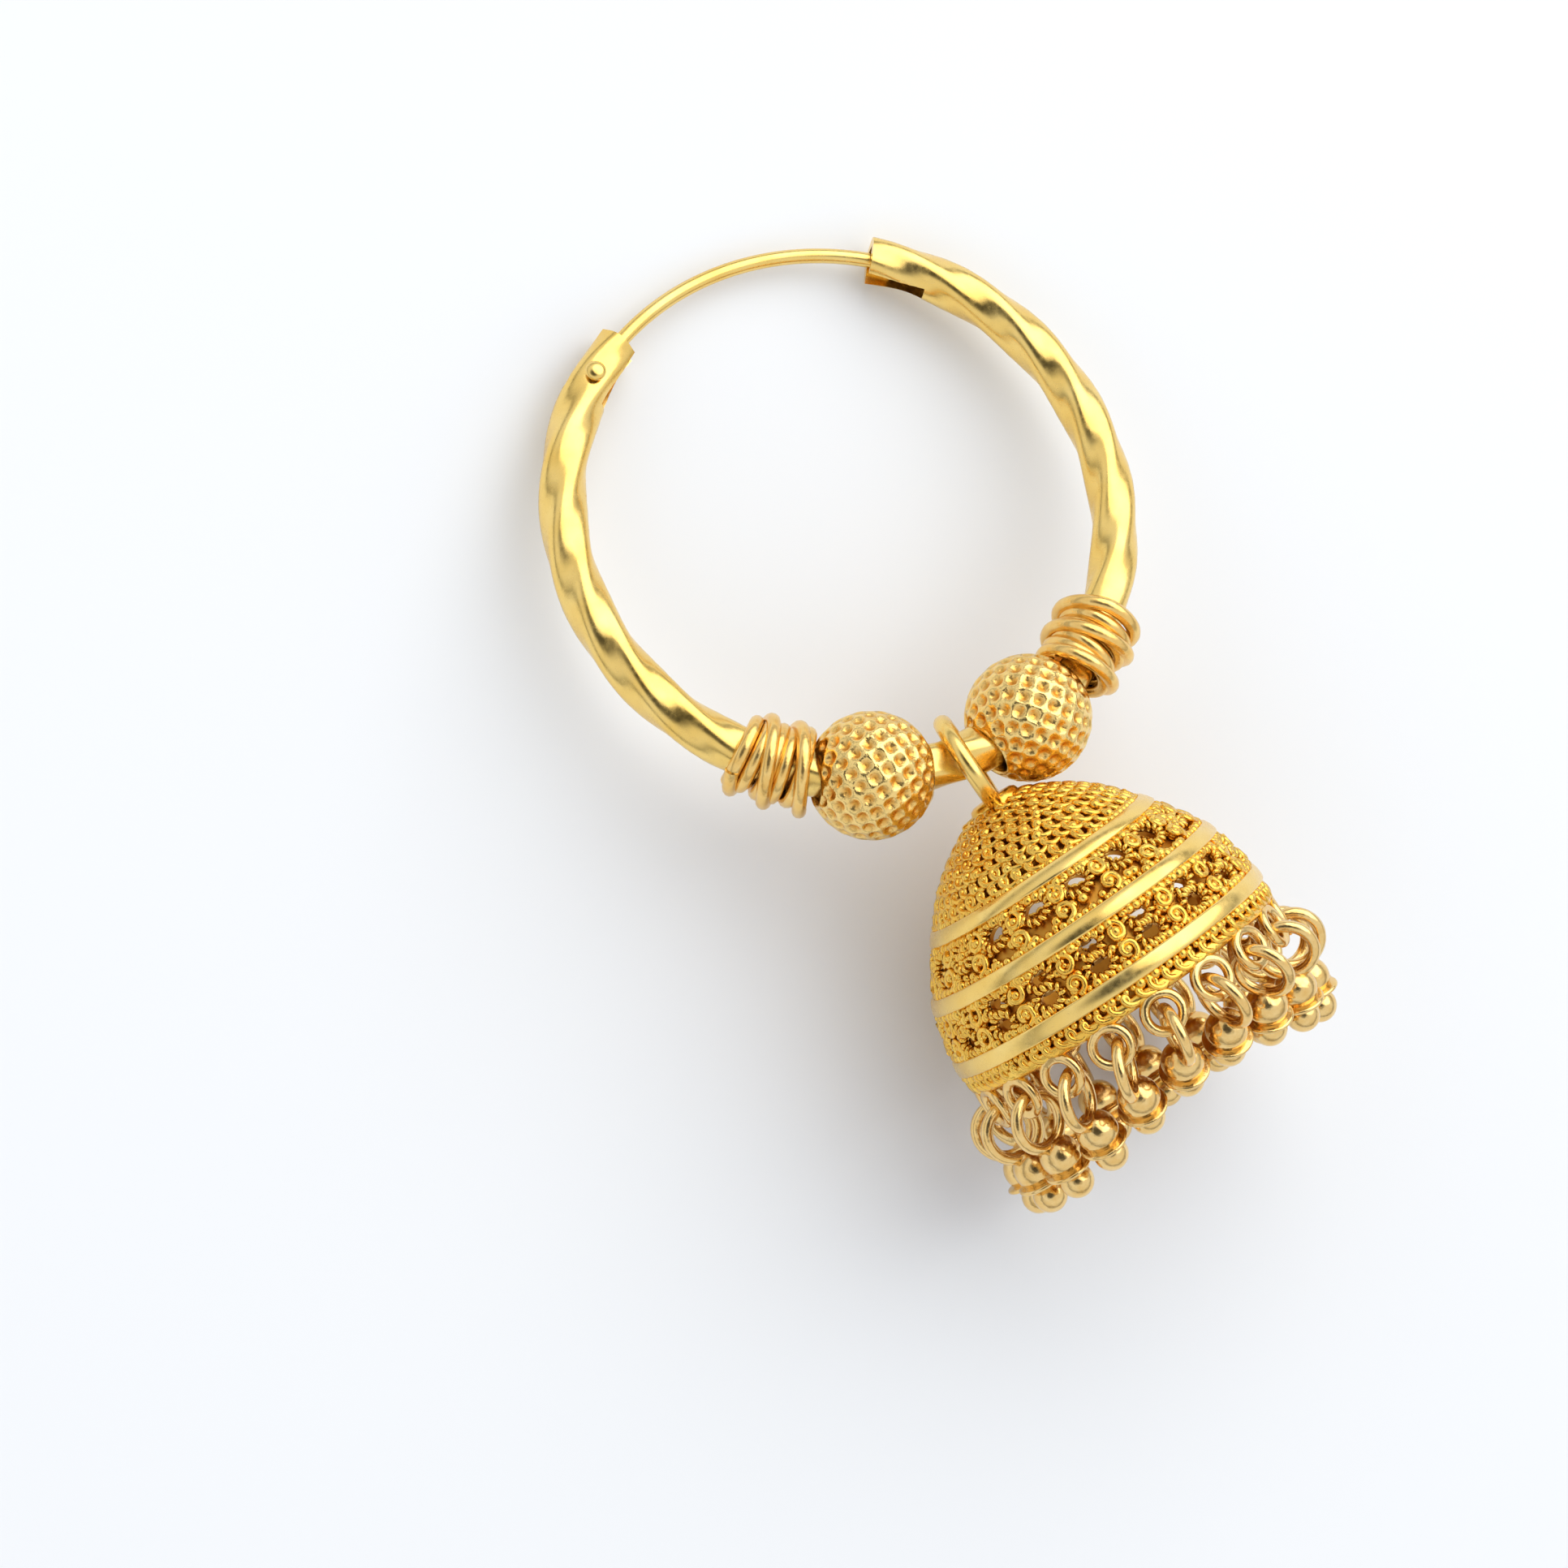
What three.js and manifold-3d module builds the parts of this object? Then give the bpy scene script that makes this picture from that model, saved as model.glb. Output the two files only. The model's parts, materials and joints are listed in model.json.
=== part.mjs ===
// A jhumka earring that lies on a table: a twisted hoop with a hinged ear wire, two beads held by
// wound wire, and an openwork bell that hangs from the hoop by its own ring and carries a fringe of drops.
// Millimetres and degrees. +Z is up, the hoop's closed end points to +Y, and the bell lies towards -Y.
import * as THREE from 'three';
import { mergeVertices } from 'three/addons/utils/BufferGeometryUtils.js';
import Module from 'manifold-3d';

const wasm = await Module();
wasm.setup();

// How it lies
const lying = {
  hoopTilt: 15.95, // the bell's width lifts the hoop's lower edge
  bellHeading: 13.4, // the bell swings a little to +X
  bellRise: 4.5, // the mouth is higher than the cap
};

// The hoop, in its own frame: it lies in XY, and angles run from the bell's side towards +X
const hoop = {
  radius: 13.85, // to the tube's centreline
  flat: 1.07, // half the tube's width across its flats
  corner: 1.21, // and across its corners
  cornerPoints: 2,
  twistPitch: 18.5, // length of one full turn of the twist
  forkEnd: -149.5,
  catchEnd: 150,
  steps: 76,
  forkTaper: 3.4, // the fork narrows over this length
  forkShare: 0.72,
};

const wire = { radius: 0.375, sides: 8, steps: 22, tipDepth: 1.25 };
const hinge = {
  angle: -139.5,
  shank: 0.3,
  bore: 0.43,
  eye: 0.8,
  head: 0.52,
  headTop: 0.31,
  headHeight: 0.28,
  lift: 0.08, // the heads stand this far off the fork
};
const slot = { width: 1.0, pastPin: 1.05, catchDepth: 2.9, outerWall: 0.6 };
const bead = { radius: 3.15, bore: 1.48, angle: 18 };
const wrap = { angle: 38.6, wire: 0.41, coil: 1.84, turns: 3.9, pitch: 0.86 };

// The bell, in its own frame: +Z runs from the cap to the mouth, +X is up as it lies
const ring = { radius: 2.35, wire: 0.45, twist: 19, slack: 0.49, shift: 0.42 };
const bell = {
  wall: 0.7,
  segments: 30,
  fromRing: 2.15, // the cap starts this far past the ring's centre
  ribbonWidth: 1.0,
  ribbonProud: 0.16,
  mouth: 11.4, // the rim's distance from the cap
  thickCap: 3, // the cap is thicker up to here
};
// Outline of the bell's wall: distance from the cap, and radius
const outline = [
  { z: 0, r: 0 },
  { z: 0.2, r: 1.5 },
  { z: 1.2, r: 3.4 },
  { z: 2.4, r: 4.9 },
  { z: 4.0, r: 6.2 },
  { z: 5.4, r: 7.22 },
  { z: 6.8, r: 7.98 },
  { z: 8.4, r: 8.45 },
  { z: 9.9, r: 8.68 },
  { z: bell.mouth, r: 8.72 },
];
const ribbons = [4.0, 6.8, 9.9]; // middle of each plain band
const windows = [
  { z: 5.4, size: 1.2 },
  { z: 8.35, size: 1.5 },
];
const windowsRound = 12;

const rimLoop = { count: 18, radius: 0.92, wire: 0.26, fromRim: 0.84, inset: 0.28 };
const drop = {
  eye: 1.35, // the eye's own radius, to its wire's centre
  eyeWire: 0.3,
  ball: 1.05,
  ballAt: 3.55, // distances from the eye's top
  saucer: 1.24,
  saucerAt: 4.25,
  saucerEdge: 0.1,
  tip: 0.85,
  tipAt: 5.1,
};
// How the drops lie round the rim: those on top droop most, those underneath rest near the table
const fringe = {
  droop: 12, // degrees towards the table, halfway round
  moreOnTop: 16,
  mostOnTop: 24,
  evenness: 2.6, // how soon the steepest droop eases off away from the top
  sway: -7, // how far they lean sideways
  turn: 3, // each is turned about itself by up to this
  turnStep: 2.4,
  turnUnderneath: 36,
  slack: 0.29, // between each eye and the wire of its loop
};

const gold = { hoop: 0xe8b53c, beads: 0xe3a92f, wound: 0xdb9f2c, bell: 0xe9b437, drops: 0xdca637 };

const rad = THREE.MathUtils.degToRad;

function paint(colour, roughness) {
  return new THREE.MeshStandardMaterial({ color: colour, roughness, metalness: 1 });
}

function named(name, geometry, material) {
  const mesh = new THREE.Mesh(geometry, material);
  mesh.name = name;
  return mesh;
}

// Joining and cutting
function solid(geometry) {
  const bare = geometry.clone();
  bare.deleteAttribute('normal');
  bare.deleteAttribute('uv');
  const merged = mergeVertices(bare, 1e-5);
  return new wasm.Manifold(new wasm.Mesh({
    numProp: 3,
    vertProperties: new Float32Array(merged.attributes.position.array),
    triVerts: new Uint32Array(merged.index.array),
  }));
}

function geometryOf(body) {
  const mesh = body.getMesh();
  const geometry = new THREE.BufferGeometry();
  geometry.setAttribute('position', new THREE.BufferAttribute(mesh.vertProperties, 3));
  geometry.setIndex(new THREE.BufferAttribute(mesh.triVerts, 1));
  return geometry;
}

function join(first, ...others) {
  return geometryOf(others.reduce((body, other) => body.add(solid(other)), solid(first)));
}

function cut(first, ...cutters) {
  return geometryOf(cutters.reduce((body, cutter) => body.subtract(solid(cutter)), solid(first)));
}

function circle(radius, sides) {
  const corners = [];
  for (let i = 0; i < sides; i += 1) {
    const turn = (2 * Math.PI * i) / sides;
    corners.push(new THREE.Vector2(radius * Math.cos(turn), radius * Math.sin(turn)));
  }
  return new THREE.Shape(corners);
}

// A square whose sides bulge out to soft corners
function softSquare(flat, corner, pointsPerSide) {
  const corners = [];
  const count = 4 * pointsPerSide;
  for (let i = 0; i < count; i += 1) {
    const turn = (2 * Math.PI * i) / count;
    const reach = (corner + flat) / 2 + ((corner - flat) / 2) * Math.cos(4 * turn);
    corners.push(new THREE.Vector2(reach * Math.cos(turn), reach * Math.sin(turn)));
  }
  return new THREE.Shape(corners);
}

// A point beside the hoop's centreline: outwards from it and above its plane
function besideHoop(angle, outwards = 0, above = 0) {
  const reach = hoop.radius + outwards;
  return new THREE.Vector3(reach * Math.sin(angle), -reach * Math.cos(angle), above);
}

// A straight bar of this section, bent along the hoop between two angles. The section can turn
// and narrow on the way, by functions of the length along the bar.
function bentBar(section, fromAngle, toAngle, steps, turnAt = () => 0, scaleAt = () => 1) {
  const length = rad(toAngle - fromAngle) * hoop.radius;
  const bar = new THREE.ExtrudeGeometry(section, { depth: length, steps, bevelEnabled: false });
  const place = bar.attributes.position;
  for (let i = 0; i < place.count; i += 1) {
    const along = place.getZ(i);
    const side = new THREE.Vector2(place.getX(i), place.getY(i));
    side.rotateAround(new THREE.Vector2(), turnAt(along));
    const point = besideHoop(rad(fromAngle) + along / hoop.radius, -side.x * scaleAt(along), side.y);
    place.setXYZ(i, point.x, point.y, point.z);
  }
  return bar;
}

// Puts a shape that is centred on the origin onto the hoop: its X along the tube, its Y outwards
function onHoop(geometry, angle, along = 0, outwards = 0, above = 0) {
  const turn = rad(angle);
  geometry.translate(along, -outwards, above);
  geometry.rotateZ(turn);
  const middle = besideHoop(turn);
  return geometry.translate(middle.x, middle.y, middle.z);
}

function pin(radius, height, sides) {
  return new THREE.CylinderGeometry(radius, radius, height, sides).rotateX(Math.PI / 2);
}

// The tube: a twisted soft square, forked at the hinge and slotted on its inner side at the catch
function hoopTube() {
  const forkLength = (along) => THREE.MathUtils.clamp(1 - along / hoop.forkTaper, 0, 1);
  const tube = bentBar(
    softSquare(hoop.flat, hoop.corner, hoop.cornerPoints),
    hoop.forkEnd,
    hoop.catchEnd,
    hoop.steps,
    (along) => (2 * Math.PI * along) / hoop.twistPitch,
    (along) => 1 - (1 - hoop.forkShare) * forkLength(along) ** 2,
  );
  const bite = 4 * hoop.corner;
  const pinFromEnd = rad(hinge.angle - hoop.forkEnd) * hoop.radius;
  const forkDepth = pinFromEnd + slot.pastPin;
  const fork = onHoop(
    new THREE.BoxGeometry(forkDepth + bite, bite, slot.width),
    hinge.angle,
    slot.pastPin - (forkDepth + bite) / 2,
  );
  const pinHole = onHoop(pin(hinge.bore, bite, 12), hinge.angle);
  const catchSlot = onHoop(
    new THREE.BoxGeometry(slot.catchDepth + bite, bite, slot.width),
    hoop.catchEnd,
    (bite - slot.catchDepth) / 2,
    slot.outerWall - bite / 2,
  );
  return cut(tube, fork, pinHole, catchSlot);
}

function hingeRivet() {
  const reach = hoop.corner + hinge.lift;
  const shank = pin(hinge.shank, 2 * reach + hinge.headHeight, 10);
  const heads = [1, -1].map((side) => {
    const dome = new THREE.CylinderGeometry(hinge.headTop, hinge.head, hinge.headHeight, 10);
    return dome.rotateX(side * Math.PI / 2).translate(0, 0, side * (reach + hinge.headHeight / 2));
  });
  return onHoop(join(shank, ...heads), hinge.angle);
}

// The ear wire: a flat eye round the rivet, and an arc whose tip drops into the catch
function earWire() {
  const tip = hoop.catchEnd - THREE.MathUtils.radToDeg(wire.tipDepth / hoop.radius);
  const start = hinge.angle - THREE.MathUtils.radToDeg((hinge.eye - hinge.bore / 2) / hoop.radius);
  const arc = bentBar(circle(wire.radius, wire.sides), tip, 360 + start, wire.steps);
  const eye = onHoop(pin(hinge.eye, 2 * wire.radius, 14), hinge.angle);
  const pinHole = onHoop(pin(hinge.bore, 4 * wire.radius, 12), hinge.angle);
  return cut(join(arc, eye), pinHole);
}

class WoundWire extends THREE.Curve {
  constructor(middle) {
    super();
    this.middle = rad(middle);
  }

  getPoint(share, target = new THREE.Vector3()) {
    const along = (share - 0.5) * wrap.turns * wrap.pitch;
    const turn = 2 * Math.PI * wrap.turns * share;
    const angle = this.middle + along / hoop.radius;
    return target.copy(besideHoop(angle, wrap.coil * Math.cos(turn), wrap.coil * Math.sin(turn)));
  }
}

function wireWrap(side) {
  return new THREE.ExtrudeGeometry(circle(wrap.wire, 6), {
    extrudePath: new WoundWire(side * wrap.angle),
    steps: Math.round(wrap.turns * 12),
    bevelEnabled: false,
  });
}

function threadedBead(side) {
  const halfBore = THREE.MathUtils.radToDeg((bead.radius + bead.bore) / hoop.radius);
  const ball = onHoop(new THREE.SphereGeometry(bead.radius, 18, 11).rotateZ(Math.PI / 2), side * bead.angle);
  const bore = bentBar(
    circle(bead.bore, 10),
    side * bead.angle - halfBore,
    side * bead.angle + halfBore,
    3,
  );
  return cut(ball, bore);
}

function lathe(points, segments) {
  return new THREE.LatheGeometry(points.map((p) => new THREE.Vector2(p.r, p.z)), segments).rotateX(Math.PI / 2);
}

// The bell's radius at a distance from the cap, along the straight stretches of its outline
function bellRadius(z) {
  const next = Math.max(1, outline.findIndex((p) => p.z >= z));
  const [a, b] = [outline[next - 1], outline[next]];
  return THREE.MathUtils.mapLinear(z, a.z, b.z, a.r, b.r);
}

// The plain bands stand a little proud of the openwork between them
function outerOutline() {
  const half = bell.ribbonWidth / 2;
  const plain = outline.filter((p) => !ribbons.some((z) => Math.abs(p.z - z) < half));
  const bands = ribbons.flatMap((z) => [z - half, z + half].flatMap((edge, i) => {
    const wall = { z: edge, r: bellRadius(edge) };
    const face = { z: edge, r: bellRadius(edge) + bell.ribbonProud };
    return i === 0 ? [wall, face] : [face, wall];
  }));
  return [...plain, ...bands].sort((a, b) => a.z - b.z || 0);
}

function bellShell() {
  const outer = outerOutline();
  const inner = outline
    .map((p) => ({ z: p.z + (p.z < bell.thickCap ? bell.wall : bell.wall / 2), r: Math.max(0, p.r - bell.wall) }))
    .filter((p) => p.z < bell.mouth - bell.wall);
  const throat = { z: bell.mouth, r: outline.at(-1).r - bell.wall };
  const shell = solid(lathe([...outer, throat, ...inner.reverse()], bell.segments));
  const cutters = windows.flatMap(({ z, size }) => Array.from({ length: windowsRound }, (_, i) => {
    const hole = new THREE.BoxGeometry(4 * bell.wall, size, size).rotateX(Math.PI / 4);
    return hole.translate(bellRadius(z) - bell.wall / 2, 0, z).rotateZ((2 * Math.PI * (i + 0.5)) / windowsRound);
  }));
  return geometryOf(cutters.reduce((body, cutter) => body.subtract(solid(cutter)), shell));
}

// Where a rim loop's hole is, in the bell's frame
function loopCentre(index) {
  const turn = (2 * Math.PI * (index + 0.5)) / rimLoop.count;
  const reach = outline.at(-1).r - rimLoop.inset;
  return new THREE.Vector3(reach * Math.cos(turn), reach * Math.sin(turn), bell.mouth + rimLoop.fromRim);
}

// The bell with its hanging ring and the loops along its rim, all soldered
function bellWithRings() {
  const hanging = new THREE.TorusGeometry(ring.radius, ring.wire, 7, 16)
    .rotateX(Math.PI / 2).rotateZ(rad(ring.twist)).translate(0, 0, -bell.fromRing);
  const loops = Array.from({ length: rimLoop.count }, (_, i) => {
    const middle = loopCentre(i);
    return new THREE.TorusGeometry(rimLoop.radius, rimLoop.wire, 5, 8)
      .rotateY(Math.PI / 2).rotateZ(Math.atan2(middle.y, middle.x)).translate(middle.x, middle.y, middle.z);
  });
  return join(bellShell(), hanging, ...loops);
}

// One drop, hanging from the origin along +Z: an eye, a ball, a saucer and a smaller ball
function dropShape() {
  const eye = new THREE.TorusGeometry(drop.eye, drop.eyeWire, 5, 9)
    .rotateX(Math.PI / 2).translate(0, 0, drop.eye);
  const arc = (at, radius, from, to, count) => Array.from({ length: count }, (_, i) => {
    const turn = rad(THREE.MathUtils.mapLinear(i, 0, count - 1, from, to));
    return { r: radius * Math.sin(turn), z: at - radius * Math.cos(turn) };
  });
  const body = lathe([
    ...arc(drop.ballAt, drop.ball, 0, 120, 4),
    { r: drop.saucer, z: drop.saucerAt - drop.saucerEdge },
    { r: drop.saucer, z: drop.saucerAt + drop.saucerEdge },
    ...arc(drop.tipAt, drop.tip, 60, 180, 4),
  ], 8);
  return join(eye, body);
}

function hangDrop(mesh, index) {
  const middle = loopCentre(index);
  const turn = Math.atan2(middle.y, middle.x);
  const onTop = Math.cos(turn);
  const steepest = fringe.mostOnTop * Math.max(0, onTop) ** fringe.evenness;
  const droop = rad(fringe.droop + fringe.moreOnTop * onTop + steepest);
  const sway = rad(fringe.sway) * Math.sin(2 * turn);
  const along = new THREE.Vector3(-Math.sin(droop), Math.sin(sway), Math.cos(droop)).normalize();
  const across = new THREE.Vector3(Math.cos(turn), Math.sin(turn), 0);
  across.addScaledVector(along, -across.dot(along)).normalize();
  const underneath = Math.max(0, -onTop) ** 2;
  const ownTurn = fringe.turn * Math.sin(fringe.turnStep * index) * (1 - underneath);
  across.applyAxisAngle(along, rad(ownTurn + fringe.turnUnderneath * underneath));
  const third = along.clone().cross(across);
  mesh.quaternion.setFromRotationMatrix(new THREE.Matrix4().makeBasis(across, third, along));
  const aboveWire = drop.eyeWire + rimLoop.wire + fringe.slack;
  mesh.position.copy(middle).addScaledVector(along, -aboveWire);
  mesh.position.z += rimLoop.radius;
  return mesh;
}

const hoopGroup = new THREE.Group();
hoopGroup.rotation.x = -rad(lying.hoopTilt);
hoopGroup.add(
  named('hoop_tube', hoopTube(), paint(gold.hoop, 0.22)),
  named('hinge_rivet', hingeRivet(), paint(gold.hoop, 0.3)),
  named('ear_wire', earWire(), paint(gold.hoop, 0.22)),
  named('wire_wrap_left', wireWrap(-1), paint(gold.wound, 0.28)),
  named('wire_wrap_right', wireWrap(1), paint(gold.wound, 0.28)),
  named('bead_left', threadedBead(-1), paint(gold.beads, 0.35)),
  named('bead_right', threadedBead(1), paint(gold.beads, 0.35)),
);

// The bell's own axes: Z along it, X as near up as that leaves
const bellAlong = new THREE.Vector3(
  Math.sin(rad(lying.bellHeading)) * Math.cos(rad(lying.bellRise)),
  -Math.cos(rad(lying.bellHeading)) * Math.cos(rad(lying.bellRise)),
  Math.sin(rad(lying.bellRise)),
);
const bellUp = new THREE.Vector3(0, 0, 1).addScaledVector(bellAlong, -bellAlong.z).normalize();
const bellGroup = new THREE.Group();
bellGroup.quaternion.setFromRotationMatrix(
  new THREE.Matrix4().makeBasis(bellUp, bellAlong.clone().cross(bellUp), bellAlong),
);
bellGroup.position.copy(besideHoop(0).applyEuler(hoopGroup.rotation));
bellGroup.position.x += ring.shift;
bellGroup.position.addScaledVector(bellAlong, ring.slack + bell.fromRing);
bellGroup.add(named('bell', bellWithRings(), paint(gold.bell, 0.34)));
const dropGeometry = dropShape();
for (let i = 0; i < rimLoop.count; i += 1) {
  const name = `drop_${String(i + 1).padStart(2, '0')}`;
  bellGroup.add(hangDrop(named(name, dropGeometry, paint(gold.drops, 0.25)), i));
}

// The origin is under the middle of the whole earring, on the table
const earring = new THREE.Group();
earring.add(hoopGroup, bellGroup);
const box = new THREE.Box3().setFromObject(earring, true);
earring.position.set(-(box.min.x + box.max.x) / 2, -(box.min.y + box.max.y) / 2, -box.min.z);

export default earring;
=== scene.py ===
import json
import math
import random

import bmesh
import bpy
from mathutils import Matrix, Vector


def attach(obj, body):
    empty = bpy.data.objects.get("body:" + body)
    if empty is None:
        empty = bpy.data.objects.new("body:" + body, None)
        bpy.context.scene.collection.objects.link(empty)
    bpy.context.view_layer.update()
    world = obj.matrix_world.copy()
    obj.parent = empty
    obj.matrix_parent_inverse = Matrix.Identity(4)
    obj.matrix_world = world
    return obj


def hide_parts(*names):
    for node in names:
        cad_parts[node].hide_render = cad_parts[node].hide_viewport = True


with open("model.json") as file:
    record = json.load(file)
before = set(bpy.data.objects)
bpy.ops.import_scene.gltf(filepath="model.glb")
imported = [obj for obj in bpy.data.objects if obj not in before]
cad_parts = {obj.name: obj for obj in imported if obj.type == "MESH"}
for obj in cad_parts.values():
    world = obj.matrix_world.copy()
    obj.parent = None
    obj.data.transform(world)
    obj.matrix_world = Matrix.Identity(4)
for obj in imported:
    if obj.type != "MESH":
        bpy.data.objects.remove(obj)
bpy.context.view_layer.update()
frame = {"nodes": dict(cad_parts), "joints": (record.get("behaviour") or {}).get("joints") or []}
print("jhumka: frame loaded with", len(frame["nodes"]), "nodes")

mm = 0.001  # sizes below are in millimetres and angles in degrees


def toLinear(hexColour):
    channels = [int(hexColour[i:i + 2], 16) / 255 for i in (1, 3, 5)]
    return [c / 12.92 if c <= 0.04045 else ((c + 0.055) / 1.055) ** 2.4 for c in channels] + [1.0]


# A node that is given as an input stands for its first output
def outputOf(value):
    return value.outputs[0] if isinstance(value, bpy.types.Node) else value


def addNode(tree, kind, inputs=None, **settings):
    node = tree.nodes.new(kind)
    for name, value in settings.items():
        setattr(node, name, value)
    for socket, value in (inputs or {}).items():
        value = outputOf(value)
        if isinstance(value, bpy.types.NodeSocket):
            tree.links.new(value, node.inputs[socket])
        else:
            node.inputs[socket].default_value = value
    return node


def newTree(name, inputs):
    tree = bpy.data.node_groups.new(name, "GeometryNodeTree")
    tree.interface.new_socket("Geometry", in_out="INPUT", socket_type="NodeSocketGeometry")
    kinds = {int: "NodeSocketInt", float: "NodeSocketFloat"}
    for label, value in inputs.items():
        socket = tree.interface.new_socket(label, in_out="INPUT", socket_type=kinds[type(value)])
        socket.default_value = value
    tree.interface.new_socket("Material", in_out="INPUT", socket_type="NodeSocketMaterial")
    tree.interface.new_socket("Geometry", in_out="OUTPUT", socket_type="NodeSocketGeometry")
    return tree, tree.nodes.new("NodeGroupInput").outputs


def endTree(tree, given, geometry):
    smooth = addNode(tree, "GeometryNodeSetShadeSmooth", {"Geometry": geometry})
    real = addNode(tree, "GeometryNodeRealizeInstances", {"Geometry": smooth})
    coated = addNode(tree, "GeometryNodeSetMaterial", {"Geometry": real, "Material": given["Material"]})
    addNode(tree, "NodeGroupOutput", {"Geometry": coated})
    return tree


def newObject(name, data):
    made = bpy.data.objects.new(name, data)
    bpy.context.scene.collection.objects.link(made)
    return made


# Puts a modifier on a mesh and gives back the plain mesh that comes out
def evaluated(mesh, addModifier):
    draft = newObject("draft", mesh)
    addModifier(draft)
    graph = bpy.context.evaluated_depsgraph_get()
    result = bpy.data.meshes.new_from_object(draft.evaluated_get(graph), depsgraph=graph)
    bpy.data.objects.remove(draft)
    return result


def grow(tree, mesh, material, **sizes):
    sockets = {item.name.replace(" ", ""): item.identifier
               for item in tree.interface.items_tree if item.in_out == "INPUT"}

    def addTree(draft):
        modifier = draft.modifiers.new("grow", "NODES")
        modifier.node_group = tree
        modifier[sockets["Material"]] = material
        for name, value in sizes.items():
            modifier[sockets[name[0].upper() + name[1:]]] = value

    return evaluated(mesh, addTree)


def combine(mesh, others, operation):
    tools = [newObject("tool", other) for other in others]

    def addBooleans(draft):
        for tool in tools:
            modifier = draft.modifiers.new("combine", "BOOLEAN")
            modifier.object = tool
            modifier.operation = operation
            modifier.solver = "EXACT"

    result = evaluated(mesh, addBooleans)
    for tool in tools:
        bpy.data.objects.remove(tool)
    return result


def meshOf(points, faces, edges=()):
    mesh = bpy.data.meshes.new("shape")
    mesh.from_pydata(points, edges, faces)
    return mesh


# Lines through points, as a mesh of edges: each path is its points and whether it closes
def pathMesh(paths):
    points, edges = [], []
    for path, closed in paths:
        start = len(points)
        points += path
        edges += [(start + i, start + i + 1) for i in range(len(path) - 1)]
        if closed:
            edges.append((start + len(path) - 1, start))
    return meshOf(points, [], edges)


# Turns an outline of (distance along Z, radius) round Z. One that ends off the axis is closed on itself.
def turned(outline, segments):
    onAxis = outline[0][1] < 1e-6
    points, faces = [], []
    for along, radius in outline:
        for i in range(segments):
            turn = 2 * math.pi * i / segments
            points.append((radius * math.cos(turn), radius * math.sin(turn), along))
    rows = len(outline)
    for row in range(rows - 1 if onAxis else rows):
        for i in range(segments):
            a, b = row * segments, (row + 1) % rows * segments
            faces.append((a + i, a + (i + 1) % segments, b + (i + 1) % segments, b + i))
    return tidied(meshOf(points, faces))


# Merges doubles and makes every face point outwards
def tidied(mesh, gap=1e-4):
    work = bmesh.new()
    work.from_mesh(mesh)
    bmesh.ops.remove_doubles(work, verts=work.verts, dist=gap)
    bmesh.ops.dissolve_degenerate(work, edges=work.edges, dist=gap / 10)
    bmesh.ops.recalc_face_normals(work, faces=work.faces)
    work.to_mesh(mesh)
    work.free()
    return mesh


def joined(meshes):
    work = bmesh.new()
    for mesh in meshes:
        work.from_mesh(mesh)
    whole = bpy.data.meshes.new("joined")
    work.to_mesh(whole)
    work.free()
    for material in meshes[0].materials:
        whole.materials.append(material)
    return whole


def smoothed(mesh, material):
    mesh.shade_smooth()
    mesh.materials.append(material)
    return mesh


def block(length, width, height, middle):
    corners = [(x, y, z) for x in (-0.5, 0.5) for y in (-0.5, 0.5) for z in (-0.5, 0.5)]
    points = [middle + Vector((x * length, y * width, z * height)) for x, y, z in corners]
    faces = [(0, 1, 3, 2), (4, 6, 7, 5), (0, 4, 5, 1), (2, 3, 7, 6), (0, 2, 6, 4), (1, 5, 7, 3)]
    return meshOf(points, faces)


def addPiece(name, mesh, place, body="root", sharpAngle=None, nodes=()):
    mesh.transform(place)
    if sharpAngle:
        mesh.set_sharp_from_angle(angle=math.radians(sharpAngle))
    piece = newObject(name, mesh)
    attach(piece, body)
    if nodes:
        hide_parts(*nodes)
    print("jhumka:", name, "made with", len(mesh.polygons), "faces")


# 22 carat gold, in each of its finishes. They share a start: a place in millimetres, and the shader.
def newGold(name, hexColour, roughness):
    material = bpy.data.materials.new(name)
    material.use_nodes = True
    tree = material.node_tree
    tree.nodes.clear()
    place = addNode(tree, "ShaderNodeTexCoord").outputs["Object"]
    inMillimetres = addNode(tree, "ShaderNodeVectorMath", {0: place, "Scale": 1 / mm}, operation="SCALE")
    shader = addNode(tree, "ShaderNodeBsdfPrincipled",
                     {"Base Color": toLinear(hexColour), "Metallic": 1.0, "Roughness": roughness})
    addNode(tree, "ShaderNodeOutputMaterial", {"Surface": shader})
    return material, tree, inMillimetres, shader


def linkTo(tree, shader, socket, value):
    tree.links.new(outputOf(value), shader.inputs[socket])


# Clouds of a darker and a lighter tone, with a patch size in millimetres. Gives back the clouds.
def addTones(tree, place, shader, patch, detail, dark, light):
    clouds = addNode(tree, "ShaderNodeTexNoise", {"Vector": place, "Scale": 1 / patch, "Detail": detail})
    tone = addNode(tree, "ShaderNodeMix", {
        "Factor": clouds, "A": toLinear(dark), "B": toLinear(light),
    }, data_type="RGBA")
    linkTo(tree, shader, "Base Color", tone.outputs["Result"])
    return clouds


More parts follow.
